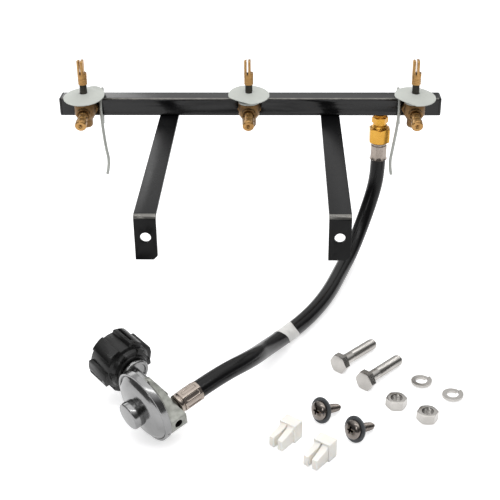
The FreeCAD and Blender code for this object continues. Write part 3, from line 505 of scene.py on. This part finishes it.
for name, width in softEdges.items():
    piece = refined(name, width, otherFinish.get(name))
    if name in highlightLook["nodes"]:
        paintHighlight(piece, highlightLook)
print("solids with softened edges:", len(softEdges))


def makeSprings():
    for side in ("left", "middle", "right"):
        node, joint = "stem_spring_" + side, "valve_push_" + side
        spring = addPiece("coil_" + side, frame["nodes"][node].data.copy(), node)
        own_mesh(spring)


makeSprings()
print("return springs wound: 3")

# wire clips: one bent wire each; x, y, z in millimetres
wireLook = {
    "radius": 1.55,
    "wire_clip_left": [(-149.7, 224.2, -42.5), (-146.2, 224.2, -30.2), (-149.2, 224.2, -12.0),
                       (-151.2, 224.2, 17.0), (-151.2, 224.2, 40.6), (-150.0, 235.5, 48.3),
                       (-152.0, 246.8, 41.6), (-154.0, 246.8, 4.9)],
    "wire_clip_right": [(147.0, 224.2, -42.5), (144.4, 224.2, -31.5), (147.2, 224.2, -12.0),
                        (151.2, 224.2, 17.0), (151.2, 224.2, 40.6), (150.0, 235.5, 48.3),
                        (152.0, 246.8, 41.6), (154.0, 246.8, 4.9)],
}


def makeWires(look):
    for node in ("wire_clip_left", "wire_clip_right"):
        curve = makeCurve(node + "_bent", look[node], look["radius"])
        curve.use_fill_caps = True
        wire = bpy.data.objects.new(node + "_bent", curve)
        scene.collection.objects.link(wire)
        curve.materials.append(finishes["satinWire"])
        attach(wire, bodyOf[node])
        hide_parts(node)


makeWires(wireLook)
print("wire clips bent: 2")

# brass adapter and flare nut under the tube; radii, widths over flats and heights from the tube's
# underside, in millimetres
adapterLook = {"flats": 14.5, "hexEnd": -10.5, "neck": 7.5, "neckEnd": -4.4, "neckDepth": 1.0,
               "tip": 4.9, "tipEnd": 1.4, "throat": 6.4, "throatEnd": -12.2, "thread": 7.9,
               "threadStart": -13.0, "threadEnd": -20.0, "threadDepth": 0.5, "pitch": 1.4,
               "cone": 5.2, "coneLong": 2.2, "mouth": 3.0, "bore": 2.5}
flareNutLook = {"flats": 20.3, "top": -16.0, "end": -31.3, "bore": 8.0, "stemBore": 5.65, "shoulder": 3.5}
fittingFrame = Matrix.Translation(Vector((133.7, 235.525, 21.3)) * mm)


def makeAdapter(look):
    end = look["threadEnd"]
    rows = [(look["bore"], end - look["coneLong"]), (look["mouth"], end - look["coneLong"]),
            (look["cone"], end), (look["thread"] - 0.6, end)]
    rows += threadRows(look["thread"], look["threadDepth"], look["pitch"], end + 0.5, look["threadStart"])
    rows += [(look["throat"], look["throatEnd"]), (look["throat"], look["hexEnd"])]
    rows += hexRows(look["flats"], 30, look["hexEnd"], look["neckEnd"], highSlope=0.1)
    rows += threadRows(look["neck"], look["neckDepth"], look["pitch"], look["neckEnd"], 0.0)
    rows += [(look["tip"], 0.0), (look["tip"], look["tipEnd"]), (look["bore"], look["tipEnd"])]
    mesh = turnedMesh("turned_adapter", rows, fittingFrame, sides=144)
    sharpFrom(addPiece("turned_adapter", mesh, "hose_adapter"), angle=25)


def makeFlareNut(look):
    shoulder = look["end"] + look["shoulder"]
    rows = [(look["stemBore"], look["end"])] + hexRows(look["flats"], 0, look["end"], look["top"])
    rows += [(look["bore"] + 0.4, look["top"]), (look["bore"], look["top"] - 0.5)]
    rows += [(look["bore"], shoulder), (look["stemBore"], shoulder)]
    mesh = turnedMesh("turned_nut", rows, fittingFrame, sides=144)
    softenEdges(addPiece("turned_nut", mesh, "flare_nut"), width=0.35, sharper=24)


makeAdapter(adapterLook)
makeFlareNut(flareNutLook)
print("brass fitting turned")

# discs: thin loose sheets that droop to their rims, each sprung a little differently; lengths in
# millimetres, lean and directions in degrees
discLook = {"radius": 20.5, "hole": 4.1, "thick": 0.75, "droop": 4.0, "lean": 6.7, "height": 50.87,
            "rings": 16, "around": 128}
discWarps = {    # side: left end down; fold: the rim lifts past foldFrom in that direction
    "left": {"lift": 0, "side": 0.9, "fold": 52, "foldFrom": 16.0, "foldBy": 0.45, "bow": 0.2,
             "bowAt": 20},
    "middle": {"lift": 0.9, "side": -0.4, "fold": -125, "foldFrom": 15.5, "foldBy": 0.5, "bow": 0.3,
               "bowAt": 130},
    "right": {"lift": 0, "side": -1.4, "fold": -130, "foldFrom": 16.0, "foldBy": 0.45, "bow": 0.3,
              "bowAt": 150},
}


def makeDiscs(look, warps):
    sheets, lean = [], math.radians(look["lean"])
    for side, warp in warps.items():
        axis = Vector(jointOf["valve_turn_" + side]["pos_m"])
        up = (0, -math.sin(lean), math.cos(lean))
        matrix = frameAt((axis.x, axis.y, look["height"] * mm), up, (1, 0, 0))
        foldWay, bowWay = math.radians(warp["fold"]), math.radians(warp["bowAt"])
        fold = Vector((math.cos(foldWay), math.sin(foldWay)))
        points, faces = [], []
        for layer in (0, 1):
            for j in range(look["rings"] + 1):
                share = j / look["rings"]
                r = look["hole"] + (look["radius"] - look["hole"]) * share
                for i in range(look["around"]):
                    a = 2 * math.pi * i / look["around"]
                    x, y = r * math.cos(a), r * math.sin(a)
                    past = max(0, x * fold.x + y * fold.y - warp["foldFrom"])
                    z = -look["droop"] * share + layer * look["thick"] + warp["side"] * x / look["radius"]
                    z += warp["lift"] * (1 + share)
                    z += warp["bow"] * share ** 2 * math.cos(2 * (a - bowWay)) + past * warp["foldBy"]
                    points.append(matrix @ Vector((x * mm, y * mm, z * mm)))
        n, top = look["around"], look["around"] * (look["rings"] + 1)
        for i in range(n):
            k = (i + 1) % n
            for j in range(look["rings"]):
                a, b = j * n, (j + 1) * n
                faces.append((a + i, a + k, b + k, b + i))
                faces.append((top + a + i, top + b + i, top + b + k, top + a + k))
            rim = look["rings"] * n
            faces.append((i, top + i, top + k, k))
            faces.append((rim + i, rim + k, top + rim + k, top + rim + i))
        sheets.append(meshFrom("disc", points, faces))
    discs = addPiece("loose_discs", joinMeshes("loose_discs", sheets), "stem_discs")
    softenEdges(discs, width=0.18, sharper=50)


makeDiscs(discLook, discWarps)
print("discs laid:", len(discWarps))

# regulator cover and its cap, turned round the adjusting screw; rows of radius and height in
# millimetres, and a small vent drilled in the rim at an angle in degrees
coverLook = {
    "outside": [(31.0, -3.2), (31.5, -2.7), (31.5, 2.1), (31.35, 2.45), (31.0, 2.6), (29.9, 2.6),
                (29.5, 2.3), (29.2, 1.8), (28.9, 2.3), (28.6, 2.7), (28.2, 3.15), (27.7, 3.6),
                (27.0, 4.25), (26.4, 4.8), (25.6, 5.4), (24.8, 5.9), (23.8, 6.35), (22.6, 6.7),
                (20.3, 7.15), (18.0, 7.55), (16.0, 7.9), (14.5, 8.2), (13.2, 8.5), (12.4, 8.7),
                (10.7, 8.7), (10.7, 15.4)],
    "inside": [(9.1, 15.4), (9.1, 7.2), (13.0, 7.0), (18.0, 6.2), (22.4, 5.2), (24.6, 3.8), (26.0, 1.8),
               (26.0, 0.4), (30.0, 0.4), (30.0, -2.55), (28.7, -2.55), (28.7, -3.2)],
    "cap": [(0, 17.3), (9.9, 17.3), (10.6, 17.2), (11.2, 16.9), (11.65, 16.4), (11.8, 15.8), (11.8, 9.1),
            (11.6, 8.75), (10.8, 8.75), (10.8, 15.6), (0, 15.6)],
    "vent": {"angle": -17.0, "radius": 0.9, "from": 30.4, "long": 3},
}


def makeCover(look):
    vent = look["vent"]
    mesh = turnedMesh("cover_shell", look["outside"] + look["inside"], regulatorFrame, sides=160)
    cover = addPiece("cover_shell", mesh, "regulator_cover")
    angle, away = math.radians(vent["angle"]), vent["from"]
    way = regulatorFrame.to_3x3() @ Vector((math.cos(angle), math.sin(angle), 0))
    start = regulatorFrame @ Vector((math.cos(angle) * away * mm, math.sin(angle) * away * mm, 0))
    rows = [(0, 0), (vent["radius"], 0), (vent["radius"], vent["long"]), (0, vent["long"])]
    drill = bpy.data.objects.new("drill", turnedMesh("drill", rows, frameAt(start, way, capWay), sides=24))
    scene.collection.objects.link(drill)
    cutAway(cover, drill)
    softenEdges(cover, width=0.12, sharper=35)
    mesh = turnedMesh("cap_shell", look["cap"][::-1], regulatorFrame, sides=128)
    sharpFrom(addPiece("cap_shell", mesh, "adjuster_cap"), angle=35)


makeCover(coverLook)
print("regulator cover turned")

# a short run of thread inside the side port; its place is in the regulator's frame, in millimetres
portLook = {"place": (28.3, -7.0, -11.5), "radius": 3.57, "depth": 0.2, "pitch": 1.3, "from": 0.3,
            "to": 8.0, "lip": 0.3}


def makePortThread(look):
    start = regulatorFrame @ (Vector(look["place"]) * mm)
    way = regulatorFrame.to_3x3() @ Vector((-1, 0, 0))
    crest = look["radius"] - look["depth"]
    rows = [(0, look["to"])]
    rows += threadRows(crest, look["depth"], look["pitch"], look["from"], look["to"], inward=True)
    rows += [(look["radius"] + look["lip"], look["from"])]
    mesh = turnedMesh("port_thread", rows, frameAt(start, way, capWay), sides=64)
    sharpFrom(addPiece("port_thread", mesh, "regulator_body", "shadowHole"), angle=60)


makePortThread(portLook)
print("port thread cut")

# ferrules: a turned head, then eight crimped flats; the upper one ends in a flared mouth, the lower
# one has a rounded panel pressed in each flat; millimetres
ferruleLooks = {
    "ferrule_upper": {"name": "upper_crimp", "radius": 7.95, "start": -31.6, "end": -50.5, "head": 3.6,
                      "groove": 0.7, "mouth": 3.5, "flare": 9.2, "ridge": 0.6, "panel": None},
    "ferrule_lower": {"name": "lower_crimp", "radius": 8.3, "start": -21.5, "end": -44.4, "head": 4.6,
                      "groove": 0.9, "mouth": 0, "flare": 0, "ridge": 0.38,
                      "panel": {"half": 1.9, "deep": 0.5, "round": 1.5, "low": 2.2, "high": 2.0,
                                "slope": 0.45}},
}
crimpLook = {"flats": 8, "bore": 4.0, "steps": 84}
ferruleFrames = {
    "ferrule_upper": fittingFrame,
    "ferrule_lower": regulatorFrame @ Matrix.Translation(Vector((12.3, -6.4, 0)) * mm),
}


def makeFerrule(node, look, matrix):
    r, start, end, bore = look["radius"], look["start"], look["end"], crimpLook["bore"]
    low, neck = end + look["mouth"], start - look["head"]
    flats = flatsRule(2 * r, crimpLook["flats"], 0, r + look["ridge"])
    panel, turn = look["panel"], 2 * math.pi / crimpLook["flats"]

    def sleeveAt(z):
        def rule(angle):
            if not panel:
                return flats(angle)
            bottom, top = low + panel["low"], neck - panel["high"]
            a = (angle + turn / 2) % turn - turn / 2
            across = max(0, abs(r * math.tan(a)) - panel["half"] + panel["round"])
            along = max(0, abs(z - (bottom + top) / 2) - (top - bottom) / 2 + panel["round"])
            inside = panel["round"] - math.hypot(across, along)
            return flats(angle) - panel["deep"] * min(1, max(0, inside / panel["slope"]))
        return rule
    rows = [(bore, end)]
    if look["mouth"]:
        rows += [(look["flare"] - 0.25, end), (look["flare"], end + 0.3)]
    heights = [low + (neck - low) * j / crimpLook["steps"] for j in range(crimpLook["steps"] + 1)]
    rows += [(sleeveAt(z), z) for z in heights]
    rows += [(r - look["groove"], neck + 0.05), (r - look["groove"], neck + 0.8), (r - 0.15, neck + 1.1),
             (r, neck + 1.3), (r, start - 1.3), (r - 0.3, start - 0.6), (r - 1.2, start), (bore, start)]
    mesh = turnedMesh(look["name"], rows, matrix, sides=256)
    sharpFrom(addPiece(look["name"], mesh, node), angle=40)


for name, look in ferruleLooks.items():
    makeFerrule(name, look, ferruleFrames[name])
print("ferrules crimped:", len(ferruleLooks))

# loose fixings on the floor, in millimetres and degrees; each place is x, y of the middle of a bolt
# head's outer face, of a nut, of a split washer or of a screw's flat washer
floorZ = -130.7


def lyingFrame(x, y, height, bearing, dip):
    # z runs along the shank, which dips to the floor
    a, d = math.radians(bearing), math.radians(dip)
    along = Vector((math.cos(a) * math.cos(d), math.sin(a) * math.cos(d), -math.sin(d)))
    return frameAt(Vector((x, y, floorZ + height)) * mm, along, Vector((0, 0, 1)).cross(along))


boltLook = {"flats": 16.0, "shank": 5.0, "head": 6.4, "long": 52.0, "plain": 18.7, "groove": 0.5,
            "pitch": 1.25, "depth": 0.45, "bearing": 48.5, "places": [(83.2, -7.8), (104.3, -33.6)]}
nutLook = {"flats": 16.0, "high": 8.4, "bore": 4.25, "pitch": 1.25, "depth": 0.5,
           "places": [(130.8, -56.1), (155.0, -74.4)]}
washerLook = {"outer": 9.05, "inner": 5.15, "thick": 2.2, "rise": 1.9, "turn": 0.96, "from": 48,
              "steps": 72, "places": [(156.0, -23.1), (180.5, -42.7)]}
screwLook = {"head": 8.1, "high": 5.6, "rim": 1.7, "shank": 4.0, "long": 24.5, "taper": 1.2, "tip": 1.2,
             "pitch": 1.9, "depth": 0.8, "washer": 11.0, "washerBore": 4.15, "washerThick": 1.6,
             "washerRound": 0.4, "bearing": 41.4, "dip": 18.4, "places": [(65.7, -78.3), (92.2, -103.1)]}
recessLook = {"long": 0.46, "wide": 0.11, "deep": 3.4, "over": 0.6}    # long, wide: shares of the head
restGap = 0.05    # how far the bolts and screws stand off the floor


def makeBolts(look):
    half, meshes = look["flats"] / 2, []
    lean = math.asin((half - look["shank"]) / look["long"])
    height = half * math.cos(lean) + look["head"] * math.sin(lean) + restGap
    shank, plain, long = look["shank"], look["plain"], look["long"]
    rows = [(0, 0)] + hexRows(look["flats"], 30, 0, look["head"], highSlope=0.2)
    rows += [(shank + 0.3, look["head"]), (shank, look["head"] + 0.4), (shank, plain - 1.2),
             (shank - look["groove"], plain - 0.9), (shank - look["groove"], plain - 0.1)]
    rows += threadRows(shank - 0.05, look["depth"], look["pitch"], plain, long - 0.9)
    rows += [(shank - 1.0, long), (0, long)]
    for x, y in look["places"]:
        matrix = lyingFrame(x, y, height, look["bearing"], math.degrees(lean))
        meshes.append(turnedMesh("bolt", rows, matrix))
    sharpFrom(addPiece("threaded_bolts", joinMeshes("threaded_bolts", meshes), "hex_bolts"), angle=28)


def makeNuts(look):
    high, root, meshes = look["high"], look["bore"] + look["depth"], []
    rows = hexRows(look["flats"], 30, 0, high)
    rows += [(root + 0.3, high), (root, high - 0.5)]
    rows += threadRows(look["bore"], look["depth"], look["pitch"], 0.5, high - 0.5, inward=True)
    rows += [(root + 0.3, 0)]
    for x, y in look["places"]:
        meshes.append(turnedMesh("nut", rows, Matrix.Translation(Vector((x, y, floorZ)) * mm)))
    sharpFrom(addPiece("threaded_nuts", joinMeshes("threaded_nuts", meshes), "hex_nuts"), angle=28)


def makeWashers(look):
    # split rings that rise as they go round; turn is the share of the round that they cover
    meshes, steps = [], look["steps"]
    for x, y in look["places"]:
        points, faces = [], []
        for i in range(steps + 1):
            a = math.radians(look["from"]) + 2 * math.pi * look["turn"] * i / steps
            z = look["rise"] * look["turn"] * i / steps
            for r, up in ((look["inner"], 0), (look["outer"], 0), (look["outer"], look["thick"]),
                          (look["inner"], look["thick"])):
                points.append(Vector((x + r * math.cos(a), y + r * math.sin(a), floorZ + z + up)) * mm)
        for i in range(steps):
            for k in range(4):
                j = (k + 1) % 4
                faces.append((4 * i + k, 4 * i + 4 + k, 4 * i + 4 + j, 4 * i + j))
        faces += [(0, 1, 2, 3), (4 * steps + 3, 4 * steps + 2, 4 * steps + 1, 4 * steps)]
        meshes.append(meshFrom("washer", points, faces))
    washers = addPiece("sprung_washers", joinMeshes("sprung_washers", meshes), "lock_washers")
    softenEdges(washers, width=0.28, sharper=40, segments=3)


def crossArm(look, turn, matrix):
    # one arm of the cross recess, narrower at its bottom
    long, wide, over = (recessLook[k] for k in ("long", "wide", "over"))
    long, wide, top = look["head"] * long, look["head"] * wide, -look["high"] - over
    bottom = top + recessLook["deep"] + over
    points = []
    for z, a, b in ((top, long * 1.08, wide * 1.15), (bottom, long * 0.3, wide * 0.6)):
        points += [(-a, -b, z), (a, -b, z), (a, b, z), (-a, b, z)]
    points = [Vector((-p[1], p[0], p[2])) if turn else Vector(p) for p in points]
    faces = [(3, 2, 1, 0), (4, 5, 6, 7)] + [(i, (i + 1) % 4, (i + 1) % 4 + 4, i + 4) for i in range(4)]
    arm = bpy.data.objects.new("arm", meshFrom("arm", [matrix @ (p * mm) for p in points], faces))
    scene.collection.objects.link(arm)
    return arm


def makeScrews(look):
    lean = math.radians(look["dip"])
    height = look["washer"] * math.cos(lean) + look["washerThick"] * math.sin(lean) + restGap
    heads, shanks, washers = [], [], []
    bore, outer = look["washerBore"], look["washer"]
    thick, soft = look["washerThick"], look["washerRound"]
    ring = [(bore, 0), (outer - soft, 0), (outer, soft), (outer, thick - soft), (outer - soft, thick),
            (bore, thick)]
    dome = [(look["head"] * math.sin(t), -look["rim"] - (look["high"] - look["rim"]) * math.cos(t))
            for t in (math.radians(v) for v in range(9, 91, 9))]
    headRows = [(0, -look["high"])] + dome + [(look["head"], -0.3), (look["head"] - 0.3, -0.02), (0, -0.02)]
    for x, y in look["places"]:
        matrix = lyingFrame(x, y, height, look["bearing"], look["dip"])
        head = bpy.data.objects.new("head", turnedMesh("head", headRows, matrix))
        scene.collection.objects.link(head)
        for turn in (False, True):
            cutAway(head, crossArm(look, turn, matrix))
        heads.append(head.data)
        bpy.data.objects.remove(head)
        rows = [(0, -0.4), (look["shank"] - look["depth"], -0.4)]
        rows += threadRows(look["shank"], look["depth"], look["pitch"], 0.8, look["long"] - 1.6, steps=10,
                           thin=look["taper"])
        rows += [(look["tip"], look["long"]), (0, look["long"])]
        shanks.append(turnedMesh("shank", rows, matrix, sides=64))
        washers.append(turnedMesh("ring", ring, matrix))
    sharpFrom(addPiece("cross_screws", joinMeshes("cross_screws", heads + shanks), "pan_screws"), angle=38)
    flat = addPiece("sealing_washers", joinMeshes("sealing_washers", washers), "screw_washers")
    softenEdges(flat, width=0.12, sharper=30)


makeBolts(boltLook)
makeNuts(nutLook)
makeWashers(washerLook)
makeScrews(screwLook)
print("loose fixings laid out: 10 pieces")

# floor, lamps and room; metres and watts. The room's light is "low" up to "from" and "high" past "to",
# counted from straight down at 0 to straight up at 1, with the bright part leaning to the back
floorLook = {"height": -0.1307, "half": 4.0, "colour": (235, 235, 236), "lift": 0.55}
lampLooks = {
    "overhead": {"place": (0.1, 0.25, 1.6), "aim": (0.1, 0.25, 0), "wide": 2.2, "long": 1.9, "power": 10},
    "strip": {"place": (0.0, -0.5, 1.45), "aim": (0, 0.1, 0), "wide": 2.6, "long": 0.14, "power": 5.5},
    "backLeft": {"place": (-1.3, 2.2, 0.85), "aim": (0, 0, 0), "wide": 1.3, "long": 0.9, "power": 6},
    "frontLeft": {"place": (-0.9, -1.75, 1.25), "aim": (0, 0, 0), "wide": 0.5, "long": 0.8, "power": 5},
}
roomLook = {"low": 0.15, "high": 1.0, "from": 0.68, "to": 0.86, "lean": 0.3}


def makeFloor(look):
    s, z = look["half"], look["height"]
    mesh = meshFrom("floor", [(-s, -s, z), (s, -s, z), (s, s, z), (-s, s, z)], [(0, 1, 2, 3)])
    floor = bpy.data.objects.new("floor", mesh)
    scene.collection.objects.link(floor)
    material = bpy.data.materials.new("paleFloor")
    material.use_nodes = True
    nodes, links = material.node_tree.nodes, material.node_tree.links
    shader = nodes["Principled BSDF"]
    shader.inputs["Base Color"].default_value = screen(*look["colour"])
    shader.inputs["Roughness"].default_value = 0.9
    shader.inputs["Specular IOR Level"].default_value = 0
    path = nodes.new("ShaderNodeLightPath")
    seen = nodes.new("ShaderNodeMath")
    seen.operation = "MAXIMUM"
    links.new(path.outputs["Is Camera Ray"], seen.inputs[0])
    glossy = nodes.new("ShaderNodeMath")
    glossy.operation = "MAXIMUM"
    links.new(path.outputs["Is Glossy Ray"], glossy.inputs[0])
    links.new(path.outputs["Is Transmission Ray"], glossy.inputs[1])
    links.new(glossy.outputs[0], seen.inputs[1])
    lift = nodes.new("ShaderNodeMath")
    lift.operation = "MULTIPLY"
    lift.inputs[1].default_value = look["lift"]
    links.new(seen.outputs[0], lift.inputs[0])
    shader.inputs["Emission Color"].default_value = (1, 1, 1, 1)
    links.new(lift.outputs[0], shader.inputs["Emission Strength"])
    mesh.materials.append(material)


def makeLamps(looks):
    for name, look in looks.items():
        data = bpy.data.lights.new(name, "AREA")
        data.shape = "RECTANGLE"
        data.size, data.size_y = look["wide"], look["long"]
        data.energy = look["power"]
        lamp = bpy.data.objects.new(name, data)
        scene.collection.objects.link(lamp)
        lamp.location = look["place"]
        way = Vector(look["aim"]) - Vector(look["place"])
        lamp.rotation_euler = way.to_track_quat("-Z", "Y").to_euler()


def makeRoom(look):
    # dim walls and a bright ceiling that comes lower down at the back; the camera itself sees plain white
    world = bpy.data.worlds.new("room")
    scene.world = world
    world.use_nodes = True
    nodes, links = world.node_tree.nodes, world.node_tree.links
    room = nodes["Background"]
    place = nodes.new("ShaderNodeTexCoord")
    rise = nodes.new("ShaderNodeVectorMath")
    rise.operation = "DOT_PRODUCT"
    rise.inputs[1].default_value = (0, look["lean"], 1)
    links.new(place.outputs["Generated"], rise.inputs[0])
    height = nodes.new("ShaderNodeMapRange")
    height.inputs["From Min"].default_value = -1
    links.new(rise.outputs["Value"], height.inputs["Value"])
    ramp = nodes.new("ShaderNodeValToRGB")
    for element, position, level in zip(ramp.color_ramp.elements, (look["from"], look["to"]),
                                        (look["low"], look["high"])):
        element.position = position
        element.color = (level, level, level, 1)
    links.new(height.outputs["Result"], ramp.inputs["Fac"])
    links.new(ramp.outputs["Color"], room.inputs["Color"])
    plain = nodes.new("ShaderNodeBackground")
    plain.inputs["Color"].default_value = (1, 1, 1, 1)
    path = nodes.new("ShaderNodeLightPath")
    choice = nodes.new("ShaderNodeMixShader")
    links.new(path.outputs["Is Camera Ray"], choice.inputs["Fac"])
    links.new(room.outputs[0], choice.inputs[1])
    links.new(plain.outputs[0], choice.inputs[2])
    links.new(choice.outputs[0], nodes["World Output"].inputs["Surface"])


makeFloor(floorLook)
makeLamps(lampLooks)
makeRoom(roomLook)
scene.view_settings.view_transform = "Standard"
print("floor and lamps ready")
